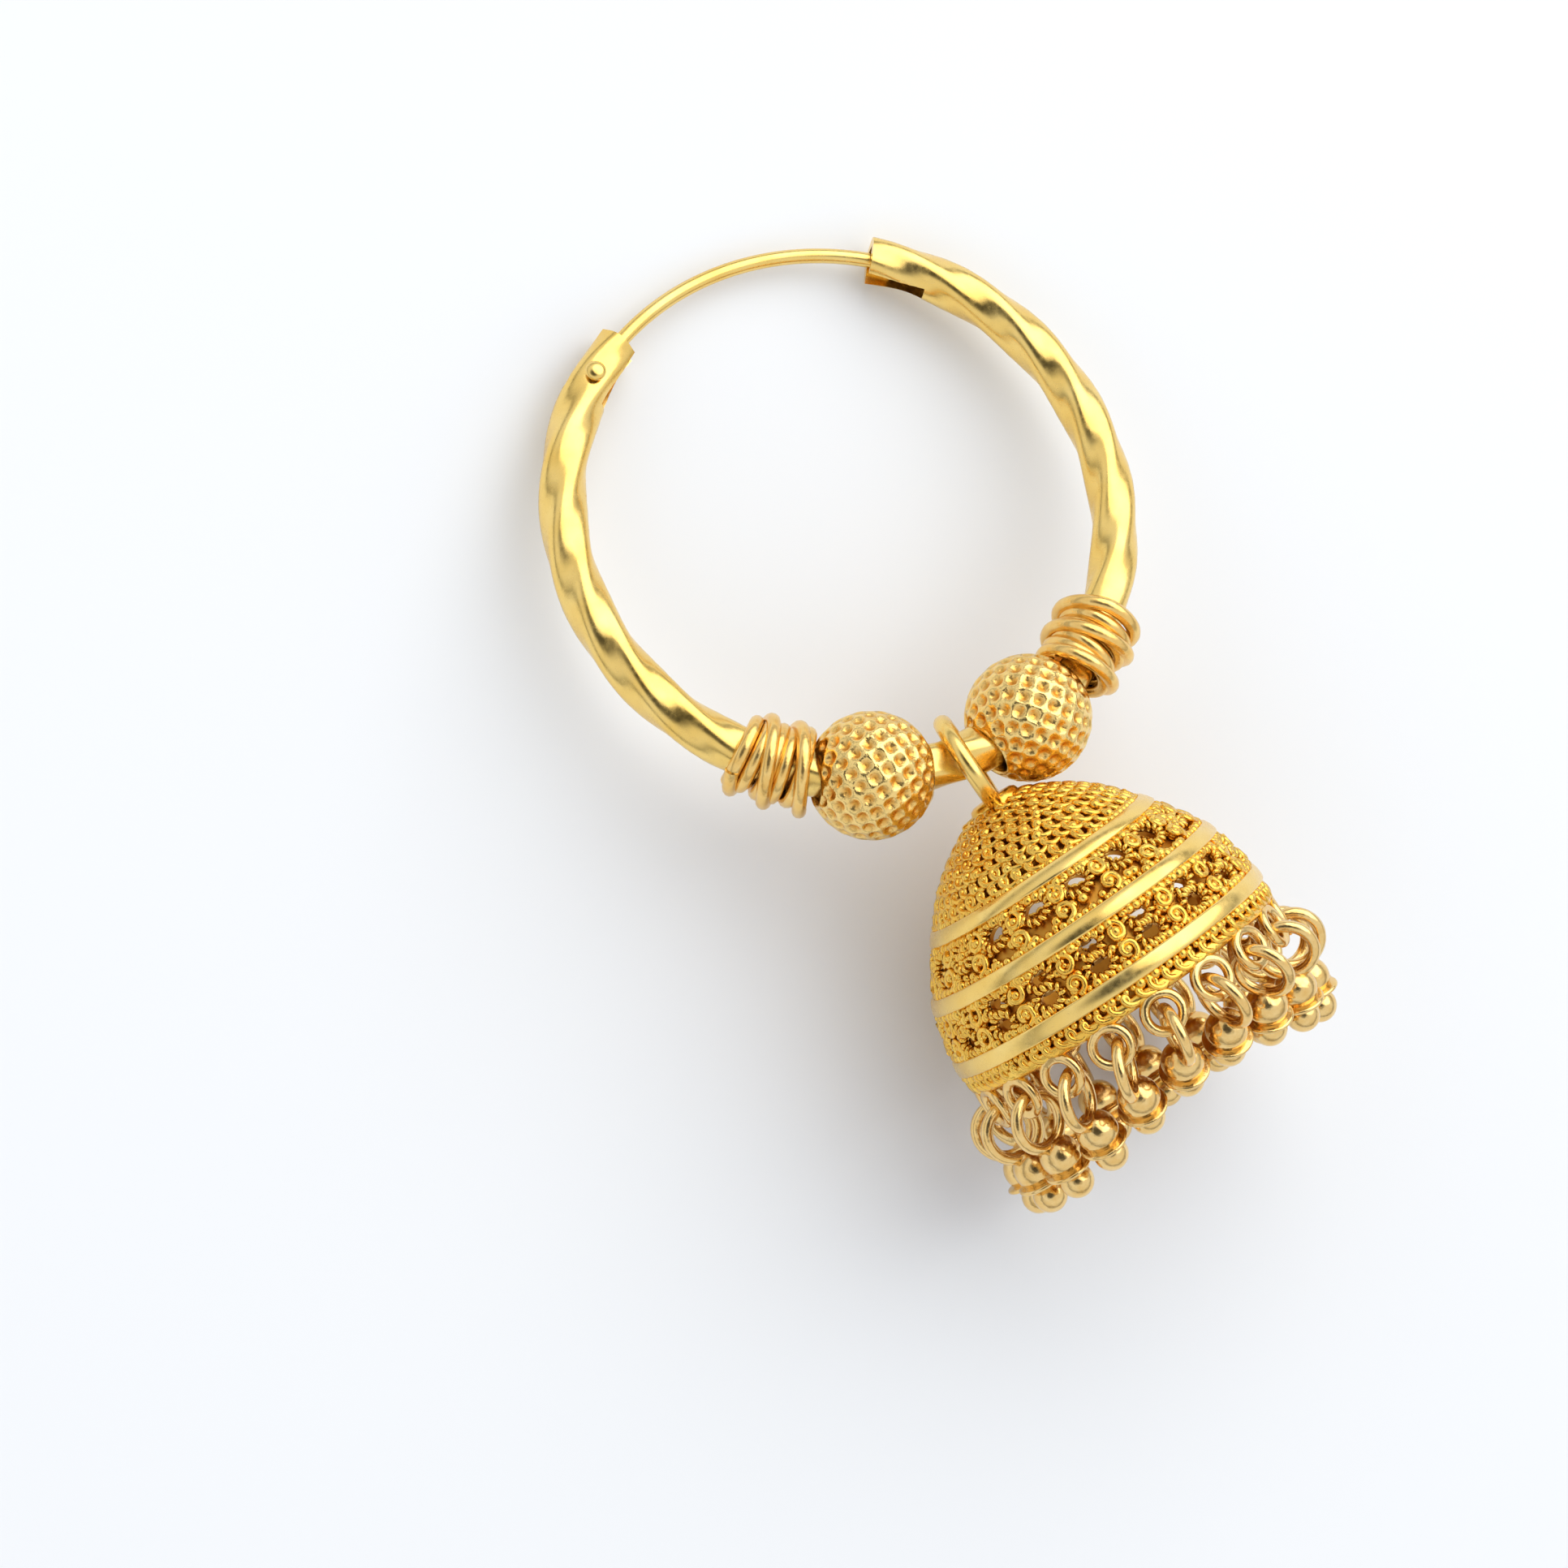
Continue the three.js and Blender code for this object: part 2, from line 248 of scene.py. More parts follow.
# Tube and wire that were drawn, twisted and burnished by hand: broad reflections that waver a little
def burnishedGold():
    material, tree, place, shader = newGold("burnishedGold", "#F9DA8A", 0.17)
    waver = addTones(tree, place, shader, patch=1.7, detail=1.0, dark="#F0C460", light="#F9DC8E")
    scuffs = addNode(tree, "ShaderNodeTexNoise", {"Vector": place, "Scale": 1 / 0.35, "Detail": 3.0})
    dull = addNode(tree, "ShaderNodeMapRange", {
        "Value": scuffs, "From Min": 0.35, "From Max": 0.75, "To Min": 0.19, "To Max": 0.33,
    })
    dents = addNode(tree, "ShaderNodeBump", {"Height": waver, "Distance": 0.016 * mm})
    marks = addNode(tree, "ShaderNodeBump", {
        "Height": scuffs, "Distance": 0.0012 * mm, "Normal": dents,
    })
    linkTo(tree, shader, "Roughness", dull)
    linkTo(tree, shader, "Normal", marks)
    return material


# Soft drawn wire wound on by hand: satin, with faint knocks
def drawnWireGold():
    material, tree, place, shader = newGold("drawnWireGold", "#F5CC78", 0.26)
    knocks = addTones(tree, place, shader, patch=0.5, detail=2.0, dark="#EDB85C", light="#FADB92")
    dents = addNode(tree, "ShaderNodeBump", {"Height": knocks, "Distance": 0.03 * mm})
    linkTo(tree, shader, "Normal", dents)
    return material


# Raised ball punched all over: frosted hollows whose colour is darkened as painted shade, and lips in the plain
# bright gold
def punchedGold():
    material, tree, place, shader = newGold("punchedGold", "#F6D080", 0.24)
    hollow = addNode(tree, "ShaderNodeAttribute", attribute_name="hollow").outputs["Fac"]
    # painted shade: the colour turns darker orange inside each hollow, standing in for the shade that falls
    # there
    tone = addNode(tree, "ShaderNodeMix", {
        "Factor": hollow, "A": toLinear("#F9D88A"), "B": toLinear("#E0A040"),
    }, data_type="RGBA")
    frost = addNode(tree, "ShaderNodeMapRange", {"Value": hollow, "To Min": 0.2, "To Max": 0.34})
    grain = addNode(tree, "ShaderNodeTexNoise", {"Vector": place, "Scale": 1 / 0.16, "Detail": 2.0})
    pits = addNode(tree, "ShaderNodeBump", {"Height": grain, "Distance": 0.03 * mm})
    linkTo(tree, shader, "Base Color", tone.outputs["Result"])
    linkTo(tree, shader, "Roughness", frost)
    linkTo(tree, shader, "Normal", pits)
    return material


# Fine wire and sheet soldered together and pickled: slightly frosted, redder where solder ran
def solderedGold():
    material, tree, place, shader = newGold("solderedGold", "#F6CB6C", 0.25)
    addTones(tree, place, shader, patch=1.4, detail=2.0, dark="#F0AE38", light="#FBD86E")
    grain = addNode(tree, "ShaderNodeTexNoise", {"Vector": place, "Scale": 1 / 0.2, "Detail": 2.0})
    frost = addNode(tree, "ShaderNodeBump", {"Height": grain, "Distance": 0.02 * mm})
    linkTo(tree, shader, "Normal", frost)
    return material


# The wall behind the openwork: matt, with its colour darkened as painted shade for the deep crevices between
# the wires
def backingGold():
    # painted shade: the darker base colour and its darker tones stand in for the shade deep inside the openwork
    material, tree, place, shader = newGold("backingGold", "#D89A38", 0.42)
    addTones(tree, place, shader, patch=0.8, detail=3.0, dark="#B5741F", light="#E6AE4C")
    return material


# Small balls and rings, fused and tumbled: smooth with a few pits
def tumbledGold():
    material, tree, place, shader = newGold("tumbledGold", "#F0CC80", 0.2)
    pits = addTones(tree, place, shader, patch=0.45, detail=2.0, dark="#E6B662", light="#F7DA9C")
    dents = addNode(tree, "ShaderNodeBump", {"Height": pits, "Distance": 0.03 * mm})
    linkTo(tree, shader, "Normal", dents)
    return material


golds = {
    "burnished": burnishedGold(),
    "wound": drawnWireGold(),
    "punched": punchedGold(),
    "soldered": solderedGold(),
    "backing": backingGold(),
    "tumbled": tumbledGold(),
}
print("jhumka: materials made")

hoop = {
    "radius": 13.85,  # to the tube's centreline
    "halfWidth": 1.07,
    "corner": 1.21,
    "squareness": 3.0,  # 2 is round, more is squarer
    "twistPitch": 18.5,  # length of one full turn of the twist
    "forkEnd": -149.5,  # angles run from the bell's side towards +X
    "catchEnd": 150.0,
    "taper": 3.4,
    "tipShare": 0.6,
    "steps": 440,
    "sides": 32,
}
hinge = {"angle": -139.5, "shank": 0.3, "bore": 0.43, "eye": 0.8, "head": 0.52, "dome": 0.28, "lift": 0.08}
slot = {"width": 1.0, "pastPin": 1.05, "catchDepth": 2.9, "outerWall": 0.6}
earWire = {"radius": 0.375, "tipDepth": 1.25, "intoEye": 0.75, "steps": 90, "sides": 16}
ring = {"radius": 2.35, "wire": 0.45, "twist": 19, "slack": 0.49, "shift": 0.42, "steps": 72}
bell = {"heading": 13.4, "rise": 4.5, "fromRing": 2.15}


# A point beside the hoop's centreline, in the hoop's own frame
def besideHoop(angle, outwards=0.0, above=0.0):
    turn = math.radians(angle)
    reach = hoop["radius"] + outwards
    return Vector((reach * math.sin(turn), -reach * math.cos(turn), above))


def axesMatrix(x, y, z, origin):
    return Matrix.Translation(origin) @ Matrix((x, y, z)).transposed().to_4x4() @ Matrix.Scale(mm, 4)


# The hoop's frame comes from its hinge: the joint's axis points down through the hoop's plane
def findHoop():
    joint = frame["joints"][0]
    normal = -Vector(joint["axis"]).normalized()
    across = Vector((1, 0, 0))
    axes = axesMatrix(across, normal.cross(across), normal, Vector())
    return Matrix.Translation(Vector(joint["pos_m"]) - axes @ besideHoop(hinge["angle"])) @ axes


# The bell hangs from the hoop's lowest point: +Z runs along it to the mouth, and +X is up
def findBell():
    heading, rise = math.radians(bell["heading"]), math.radians(bell["rise"])
    flat = math.cos(rise)
    along = Vector((math.sin(heading) * flat, -math.cos(heading) * flat, math.sin(rise)))
    up = (Vector((0, 0, 1)) - along * along.z).normalized()
    drop = Vector((ring["shift"], 0, 0)) + along * (ring["slack"] + bell["fromRing"])
    return axesMatrix(up, along.cross(up), along, hoopPlace @ besideHoop(0) + drop * mm)


hoopPlace = findHoop()
bellPlace = findBell()


# Puts a mesh that is centred on the origin onto the hoop: its X along the tube, its Y inwards
def ontoHoop(mesh, angle):
    mesh.transform(Matrix.Translation(besideHoop(angle)) @ Matrix.Rotation(math.radians(angle), 4, "Z"))
    return mesh


# Sweeps a soft square along an arc, turning it as it goes and narrowing its first end
def twistedTubeTree():
    tree, given = newTree("twistedTube", {
        "Radius": 1.0, "Start": 0.0, "Sweep": 1.0, "Half Width": 1.0, "Squareness": 3.0,
        "Twist Pitch": 18.0, "Taper": 3.0, "Tip Share": 0.6, "Steps": 100, "Sides": 16,
    })
    arc = addNode(tree, "GeometryNodeCurveArc", {
        "Resolution": given["Steps"], "Radius": given["Radius"],
        "Start Angle": given["Start"], "Sweep Angle": given["Sweep"],
    })
    level = addNode(tree, "GeometryNodeSetCurveNormal", {"Curve": arc}, mode="Z_UP")
    along = addNode(tree, "GeometryNodeSplineParameter").outputs["Length"]
    turns = addNode(tree, "ShaderNodeMath", {0: along, 1: given["Twist Pitch"]}, operation="DIVIDE")
    angle = addNode(tree, "ShaderNodeMath", {0: turns, 1: 2 * math.pi}, operation="MULTIPLY")
    tilted = addNode(tree, "GeometryNodeSetCurveTilt", {"Curve": level, "Tilt": angle})
    share = addNode(tree, "ShaderNodeMapRange", {
        "Value": along, "From Max": given["Taper"], "To Min": given["Tip Share"], "To Max": 1.0,
    }, interpolation_type="SMOOTHSTEP")
    narrowed = addNode(tree, "GeometryNodeSetCurveRadius", {"Curve": tilted, "Radius": share})
    circle = addNode(tree, "GeometryNodeCurvePrimitiveCircle", {"Resolution": given["Sides"], "Radius": 1.0})
    position = addNode(tree, "GeometryNodeInputPosition")
    place = addNode(tree, "ShaderNodeVectorRotate", {"Vector": position, "Angle": math.pi / 4},
                    rotation_type="Z_AXIS")
    power = addNode(tree, "ShaderNodeVectorMath", {0: place}, operation="ABSOLUTE")
    parts = addNode(tree, "ShaderNodeSeparateXYZ", {0: power})
    raised = [addNode(tree, "ShaderNodeMath", {0: part, 1: given["Squareness"]}, operation="POWER")
              for part in parts.outputs[:2]]
    total = addNode(tree, "ShaderNodeMath", {0: raised[0], 1: raised[1]}, operation="ADD")
    root = addNode(tree, "ShaderNodeMath", {0: 1.0, 1: given["Squareness"]}, operation="DIVIDE")
    reach = addNode(tree, "ShaderNodeMath", {0: total, 1: root}, operation="POWER")
    size = addNode(tree, "ShaderNodeMath", {0: given["Half Width"], 1: reach}, operation="DIVIDE")
    square = addNode(tree, "ShaderNodeVectorMath", {0: position, "Scale": size}, operation="SCALE")
    section = addNode(tree, "GeometryNodeSetPosition", {"Geometry": circle, "Position": square})
    tube = addNode(tree, "GeometryNodeCurveToMesh", {
        "Curve": narrowed, "Profile Curve": section, "Fill Caps": True,
    })
    return endTree(tree, given, tube)


# Ends a tree with round wire along its curve
def endWire(tree, given, curve):
    section = addNode(tree, "GeometryNodeCurvePrimitiveCircle", {
        "Resolution": given["Sides"], "Radius": given["Wire"],
    })
    wire = addNode(tree, "GeometryNodeCurveToMesh", {
        "Curve": curve, "Profile Curve": section, "Fill Caps": True,
    })
    return endTree(tree, given, wire)


def roundWireTree():
    tree, given = newTree("roundWire", {"Wire": 0.3, "Sides": 10})
    path = addNode(tree, "GeometryNodeMeshToCurve", {0: given["Geometry"]})
    return endWire(tree, given, path)


# A spring wound along a path, with a whole number of turns on each stretch
def springTree():
    tree, given = newTree("spring", {
        "Coil": 0.17, "Pitch": 0.4, "Wire": 0.1, "Sides": 5, "Points Per Turn": 8,
    })
    path = addNode(tree, "GeometryNodeMeshToCurve", {0: given["Geometry"]})
    step = addNode(tree, "ShaderNodeMath", {
        0: given["Pitch"], 1: given["Points Per Turn"],
    }, operation="DIVIDE")
    fine = addNode(tree, "GeometryNodeResampleCurve", {"Curve": path, "Length": step}, mode="LENGTH")
    length = addNode(tree, "GeometryNodeSplineLength").outputs["Length"]
    count = addNode(tree, "ShaderNodeMath", {0: length, 1: given["Pitch"]}, operation="DIVIDE")
    turns = addNode(tree, "ShaderNodeMath", {0: count}, operation="ROUND")
    factor = addNode(tree, "GeometryNodeSplineParameter").outputs["Factor"]
    phase = addNode(tree, "ShaderNodeMath", {0: factor, 1: turns}, operation="MULTIPLY")
    angle = addNode(tree, "ShaderNodeMath", {0: phase, 1: 2 * math.pi}, operation="MULTIPLY")
    normal = addNode(tree, "GeometryNodeInputNormal").outputs["Normal"]
    tangent = addNode(tree, "GeometryNodeInputTangent").outputs["Tangent"]
    across = addNode(tree, "ShaderNodeVectorMath", {0: tangent, 1: normal}, operation="CROSS_PRODUCT")
    cosine, sine = [addNode(tree, "ShaderNodeMath", {0: angle}, operation=kind)
                    for kind in ("COSINE", "SINE")]
    first, second = [addNode(tree, "ShaderNodeVectorMath", {0: axis, "Scale": part}, operation="SCALE")
                     for axis, part in ((normal, cosine), (across, sine))]
    both = addNode(tree, "ShaderNodeVectorMath", {0: first, 1: second}, operation="ADD")
    offset = addNode(tree, "ShaderNodeVectorMath", {0: both, "Scale": given["Coil"]}, operation="SCALE")
    wound = addNode(tree, "GeometryNodeSetPosition", {"Geometry": fine, "Offset": offset})
    return endWire(tree, given, wound)


# Small balls at a mesh's points
def grainTree():
    tree, given = newTree("grains", {"Grain": 0.2, "Variation": 0.15, "Seed": 1, "Segments": 8, "Rings": 5})
    ball = addNode(tree, "GeometryNodeMeshUVSphere", {
        "Segments": given["Segments"], "Rings": given["Rings"], "Radius": given["Grain"],
    })
    least, most = [addNode(tree, "ShaderNodeMath", {0: 1.0, 1: given["Variation"]}, operation=kind)
                   for kind in ("SUBTRACT", "ADD")]
    size = addNode(tree, "FunctionNodeRandomValue", {
        "Min": least, "Max": most, "Seed": given["Seed"],
    }, data_type="FLOAT")
    tumble = addNode(tree, "FunctionNodeRandomValue", {
        0: (0.0, 0.0, 0.0), 1: (math.pi, math.pi, math.pi), "Seed": given["Seed"],
    }, data_type="FLOAT_VECTOR")
    spots = addNode(tree, "GeometryNodeMeshToPoints", {"Mesh": given["Geometry"]})
    balls = addNode(tree, "GeometryNodeInstanceOnPoints", {
        "Points": spots, "Instance": ball,
        "Rotation": tumble, "Scale": size.outputs["Value"],
    })
    return endTree(tree, given, balls)


# Presses hollows into a ball round the origin, spread evenly by the golden angle
def dimpleTree():
    tree, given = newTree("dimples", {"Dimples": 180, "Ball": 3.15, "Dimple": 0.3, "Depth": 0.1})
    index = addNode(tree, "GeometryNodeInputIndex")
    middle = addNode(tree, "ShaderNodeMath", {0: index, 1: 0.5}, operation="ADD")
    share = addNode(tree, "ShaderNodeMath", {0: middle, 1: given["Dimples"]}, operation="DIVIDE")
    height = addNode(tree, "ShaderNodeMath", {0: share, 1: -2.0, 2: 1.0}, operation="MULTIPLY_ADD")
    turn = addNode(tree, "ShaderNodeMath", {0: index, 1: math.pi * (3 - math.sqrt(5))}, operation="MULTIPLY")
    squared = addNode(tree, "ShaderNodeMath", {0: height, 1: height}, operation="MULTIPLY")
    rest = addNode(tree, "ShaderNodeMath", {0: 1.0, 1: squared}, operation="SUBTRACT")
    radius = addNode(tree, "ShaderNodeMath", {0: rest}, operation="SQRT")
    cosine, sine = [addNode(tree, "ShaderNodeMath", {0: turn}, operation=kind)
                    for kind in ("COSINE", "SINE")]
    x, y = [addNode(tree, "ShaderNodeMath", {0: radius, 1: part}, operation="MULTIPLY")
            for part in (cosine, sine)]
    unit = addNode(tree, "ShaderNodeCombineXYZ", {0: height, 1: x, 2: y})
    spot = addNode(tree, "ShaderNodeVectorMath", {0: unit, "Scale": given["Ball"]}, operation="SCALE")
    spots = addNode(tree, "GeometryNodePoints", {"Count": given["Dimples"], "Position": spot})
    near = addNode(tree, "GeometryNodeProximity", {0: spots}, target_element="POINTS")
    press = addNode(tree, "ShaderNodeMapRange", {
        "Value": near.outputs["Distance"], "From Max": given["Dimple"], "To Min": 1.0, "To Max": 0.0,
    }, interpolation_type="SMOOTHSTEP")
    outside = addNode(tree, "GeometryNodeInputNamedAttribute", {"Name": "outside"}, data_type="FLOAT")
    hollow = addNode(tree, "ShaderNodeMath", {0: press, 1: outside}, operation="MULTIPLY")
    marked = addNode(tree, "GeometryNodeStoreNamedAttribute", {
        "Geometry": given["Geometry"], "Name": "hollow", "Value": hollow,
    }, data_type="FLOAT", domain="POINT")
    position = addNode(tree, "GeometryNodeInputPosition")
    away = addNode(tree, "ShaderNodeVectorMath", {0: position}, operation="NORMALIZE")
    depth = addNode(tree, "ShaderNodeMath", {0: hollow, 1: given["Depth"]}, operation="MULTIPLY")
    inward = addNode(tree, "ShaderNodeMath", {0: depth, 1: -1.0}, operation="MULTIPLY")
    offset = addNode(tree, "ShaderNodeVectorMath", {0: away, "Scale": inward}, operation="SCALE")
    pressed = addNode(tree, "GeometryNodeSetPosition", {"Geometry": marked, "Offset": offset})
    return endTree(tree, given, pressed)


roundWire = roundWireTree()
spring = springTree()
grains = grainTree()
dimples = dimpleTree()


# The tube: a soft square that twists along its length, forked at the hinge and slotted at the catch
def makeTube():
    tube = grow(twistedTubeTree(), meshOf([(0, 0, 0)], []), golds["burnished"], **{
        "radius": hoop["radius"], "start": math.radians(hoop["forkEnd"] - 90),
        "sweep": math.radians(hoop["catchEnd"] - hoop["forkEnd"]), "halfWidth": hoop["halfWidth"],
        "squareness": hoop["squareness"], "twistPitch": hoop["twistPitch"], "taper": hoop["taper"],
        "tipShare": hoop["tipShare"], "steps": hoop["steps"], "sides": hoop["sides"],
    })
    tidied(tube)
    bite = 5.0  # the cutting blocks reach this far past the tube
    pinFromEnd = math.radians(hinge["angle"] - hoop["forkEnd"]) * hoop["radius"]
    forkDepth = pinFromEnd + slot["pastPin"]
    forkMiddle = Vector((slot["pastPin"] - (forkDepth + bite) / 2, 0, 0))
    fork = block(forkDepth + bite, bite, slot["width"], forkMiddle)
    bore = hinge["bore"]
    pinHole = turned([(-bite, 0), (-bite, bore), (bite, bore), (bite, 0)], segments=24)
    catchMiddle = Vector(((bite - slot["catchDepth"]) / 2, bite / 2 - slot["outerWall"], 0))
    catch = block(slot["catchDepth"] + bite, bite, slot["width"], catchMiddle)
    places = [(fork, hinge["angle"]), (pinHole, hinge["angle"]), (catch, hoop["catchEnd"])]
    cut = combine(tube, [ontoHoop(tool, angle) for tool, angle in places], "DIFFERENCE")
    addPiece("twistedTube", cut, hoopPlace, sharpAngle=32, nodes=["hoop_tube"])


def makeRivet():
    reach = hoop["corner"] + hinge["lift"]
    dome = [(reach, hinge["head"])]
    steps = 6
    for i in range(1, steps + 1):
        turn = math.radians(90 * i / steps)
        dome.append((reach + hinge["dome"] * math.sin(turn), hinge["head"] * math.cos(turn)))
    half = [(reach, hinge["shank"])] + dome[:-1] + [(reach + hinge["dome"], 0.0)]
    outline = [(-along, radius) for along, radius in reversed(half)] + half
    rivet = smoothed(turned(outline, segments=32), golds["burnished"])
    addPiece("hingeRivet", ontoHoop(rivet, hinge["angle"]), hoopPlace, sharpAngle=40,
             nodes=["hinge_rivet"])


# The ear wire: an arc whose tip lies in the catch, with a flat eye round the rivet
def makeEarWire():
    tip = hoop["catchEnd"] - math.degrees(earWire["tipDepth"] / hoop["radius"])
    start = 360 + hinge["angle"] - math.degrees(hinge["eye"] * earWire["intoEye"] / hoop["radius"])
    steps = earWire["steps"]
    arc = [besideHoop(tip + (start - tip) * i / steps) for i in range(steps + 1)]
    wire = grow(roundWire, pathMesh([(arc, False)]), golds["burnished"], wire=earWire["radius"],
                sides=earWire["sides"])
    tidied(wire)
    soft = 0.1  # rounding of the eye's rims
    half, bore, rim = earWire["radius"], hinge["bore"], hinge["eye"]
    section = [(-half, bore + soft), (-half + soft, bore), (half - soft, bore), (half, bore + soft),
               (half, rim - soft), (half - soft, rim), (-half + soft, rim), (-half, rim - soft)]
    eye = smoothed(turned(section, segments=40), golds["burnished"])
    whole = combine(wire, [ontoHoop(eye, hinge["angle"])], "UNION")
    addPiece("earWire", whole, hoopPlace, body="ear_wire", sharpAngle=40, nodes=["ear_wire"])


wrap = {
    "angle": 38.2,
    "wire": 0.36,
    "innerCoil": 1.62,  # radius of the first layer, to the wire's centre
    "outerCoil": 1.98,  # the wire then comes back over it
    "innerTurns": 4.9,
    "outerTurns": 2.2,
    "length": 3.45,
    "climbFrom": 0.86,  # share of the first layer at which the wire starts to climb
    "dipFrom": 0.12,  # share of the way back at which its end starts to dip
    "dip": 0.7,
    "unevenPitch": 0.035,
    "unevenCoil": 0.03,
    "waves": 3,
    "laterStart": 2.2,  # radians by which the right-hand wire starts later
    "seed": 31,
    "pointsPerTurn": 44,
}


# One wire wound tight round the tube, then back over itself at a steeper slant
def makeWrap(side):
    wobble = random.Random(wrap["seed"] + side)
    waves = [(wobble.uniform(0.6, 2.2), wobble.uniform(0, 6.3)) for _ in range(wrap["waves"])]  # rate and start
    total = wrap["innerTurns"] + wrap["outerTurns"]
    points = []
    for i in range(round(total * wrap["pointsPerTurn"]) + 1):
        turns = i / wrap["pointsPerTurn"]
        if turns < wrap["innerTurns"]:
            share = turns / wrap["innerTurns"]
            climb = max(0.0, (share - wrap["climbFrom"]) / (1 - wrap["climbFrom"]))
        else:
            share = 1 - (turns - wrap["innerTurns"]) / wrap["outerTurns"]
            climb = 1 - max(0.0, 1 - share / wrap["dipFrom"]) * wrap["dip"]
        coil = wrap["innerCoil"] + (wrap["outerCoil"] - wrap["innerCoil"]) * climb
        uneven = sum(math.sin(rate * turns * 3 + start) for rate, start in waves)
        along = (share - 0.5) * wrap["length"] + wrap["unevenPitch"] * uneven
        turn = 2 * math.pi * turns + (0 if side < 0 else wrap["laterStart"])
        coil += wrap["unevenCoil"] * uneven
        angle = side * wrap["angle"] + math.degrees(along / hoop["radius"])
        points.append(besideHoop(angle, coil * math.cos(turn), coil * math.sin(turn)))
    wire = grow(roundWire, pathMesh([(points, False)]), golds["wound"], wire=wrap["wire"], sides=12)
    name = "Left" if side < 0 else "Right"
    addPiece("woundWire" + name, tidied(wire), hoopPlace, nodes=["wire_wrap_" + name.lower()])


bead = {
    "radius": 3.15,
    "bore": 1.42,
    "angle": 18,
    "tilt": 40,  # turned this far round the tube, one bead each way
    "dimples": 200,
    "dimple": 0.45,
    "depth": 0.24,
    "fade": 0.3,  # the dimples fade out this near the hole
    "around": 200,
    "rows": 104,
    "boreRows": 8,
}


# A ball with a hole for the tube, its outside dimpled
def makeBead(side):
    start = math.asin(bead["bore"] / bead["radius"])
    rim = bead["bore"] - 0.12  # the hole's edge is eased by this much
    outline = []
    for i in range(bead["rows"] + 1):
        turn = start + (math.pi - 2 * start) * i / bead["rows"]
        outline.append((-bead["radius"] * math.cos(turn), bead["radius"] * math.sin(turn)))
    half = bead["radius"] * math.cos(start)
    eased = half - (bead["bore"] - rim)
    hole = [(half - 2 * half * i / bead["boreRows"], rim) for i in range(1, bead["boreRows"])]
    outline = [(-eased, rim)] + outline + [(eased, rim)] + hole
    ball = turned(outline, bead["around"])
    ball.transform(Matrix.Rotation(math.pi / 2, 4, "Y"))
    mark = ball.attributes.new("outside", "FLOAT", "POINT")
    for i, vertex in enumerate(ball.vertices):
        radius = math.hypot(vertex.co.y, vertex.co.z)
        onBall = vertex.co.length > bead["radius"] * 0.99
        mark.data[i].value = min(1.0, max(0.0, (radius - bead["bore"]) / bead["fade"])) if onBall else 0.0
    ball.transform(Matrix.Rotation(math.radians(bead["tilt"] * side), 4, "X"))
    pressed = grow(dimples, ball, golds["punched"], dimples=bead["dimples"], ball=bead["radius"],
                   dimple=bead["dimple"], depth=bead["depth"])
    name = "Left" if side < 0 else "Right"
    addPiece("punchedBead" + name, ontoHoop(pressed, side * bead["angle"]), hoopPlace,
             nodes=["bead_" + name.lower()])


makeTube()
makeRivet()
makeEarWire()
for side in (-1, 1):
    makeWrap(side)
    makeBead(side)

# Outline of the bell's wall: distance from the cap, and radius
outline = [(0, 0), (0.2, 1.5), (1.2, 3.4), (2.4, 4.9), (4.0, 6.2), (5.4, 7.22), (6.8, 7.98), (8.4, 8.45),
           (9.9, 8.68), (11.4, 8.72)]
bell.update({
    "ribbonAt": [4.0, 6.8, 9.9],  # middle of each plain band
    "ribbonWidth": 0.86,
    "ribbonProud": 0.16,
    "columns": 18,
    "columnPoints": 6,  # points along each side of a window's cell
    "phase": 18.4,
    "wallOut": -0.45,  # the openwork's backing lies this far inside the outline
    "wallIn": -0.7,
    "wire": 0.165,
    "grain": 0.23,
    "windowPower": 1.7,  # a window is a diamond at 1 and an ellipse at 2
})


# The outline as a smooth line, as (length from the middle of the cap, along, radius, outward direction)
def smoothOutline():
    beforeCap, pastMouth, steps = (0.2, -1.5), (14.4, 8.74), 10
    points = [Vector(p) for p in [beforeCap] + outline + [pastMouth]]
    line = []
    for i in range(1, len(points) - 2):
        a, b, c, d = points[i - 1:i + 3]
        for k in range(steps):
            t = k / steps
            line.append(0.5 * (2 * b + (c - a) * t + (2 * a - 5 * b + 4 * c - d) * t * t
                               + (3 * b - a - 3 * c + d) * t ** 3))
    line.append(points[-2])
    samples, length = [], 0.0
    for i, point in enumerate(line):
        if i:
            length += (point - line[i - 1]).length
        ahead = line[min(i + 1, len(line) - 1)] - line[max(i - 1, 0)]
        out = Vector((-ahead.y, ahead.x)).normalized()
        samples.append((length, point, out))
    return samples


wallLine = smoothOutline()


def lineLength(along):
    return next(length for length, point, _ in wallLine if point.x >= along - 1e-6)


# A point on the bell: angle round it in degrees, length along its outline, and how far outside the outline
def onBell(angle, length, out=0.0):
    length = min(max(length, 0.0), wallLine[-1][0] - 1e-6)
    after = next(i for i, sample in enumerate(wallLine) if sample[0] > length)
    (l0, p0, o0), (l1, p1, o1) = wallLine[after - 1], wallLine[after]
    t = (length - l0) / (l1 - l0)
    point = p0.lerp(p1, t) + o0.lerp(o1, t).normalized() * out
    turn = math.radians(angle)
    return Vector((point.y * math.cos(turn), point.y * math.sin(turn), point.x))


def bellRadius(length):
    return math.hypot(*onBell(0, length)[:2])


# How many things this far apart go round the bell
def countRound(length, pitch):
    return round(2 * math.pi * bellRadius(length) / pitch)


ribbonMiddles = [lineLength(along) for along in bell["ribbonAt"]]
mouthLength = wallLine[-1][0]


